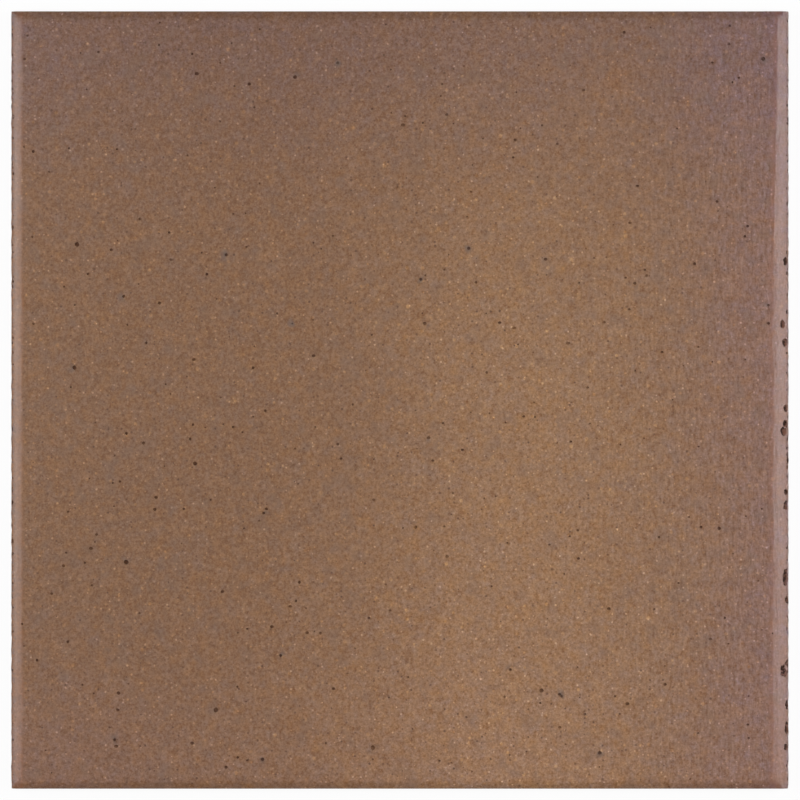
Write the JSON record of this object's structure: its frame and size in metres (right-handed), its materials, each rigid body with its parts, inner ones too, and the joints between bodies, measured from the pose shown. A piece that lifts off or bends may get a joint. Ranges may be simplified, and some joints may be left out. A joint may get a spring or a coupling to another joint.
{
  "type": "clinker tile",
  "caption": "Square unglazed clinker floor tile of extruded stoneware, brown with dark iron spots, eased edges round the flat face and dovetail keying grooves along the back.",
  "frame": {"origin": "middle of the bedding plane, on the back of the tile", "axes": "+Z out of the face, +Y along the extruded column and the grooves to the far cut end, +X to the right-hand side with the wider arris"},
  "size_m": [0.3, 0.3, 0.011],
  "materials": {
    "clinker_body": "matte"
  },
  "bodies": {
    "root": {"clinker_tile": "clinker_body"}
  },
  "joints": []
}
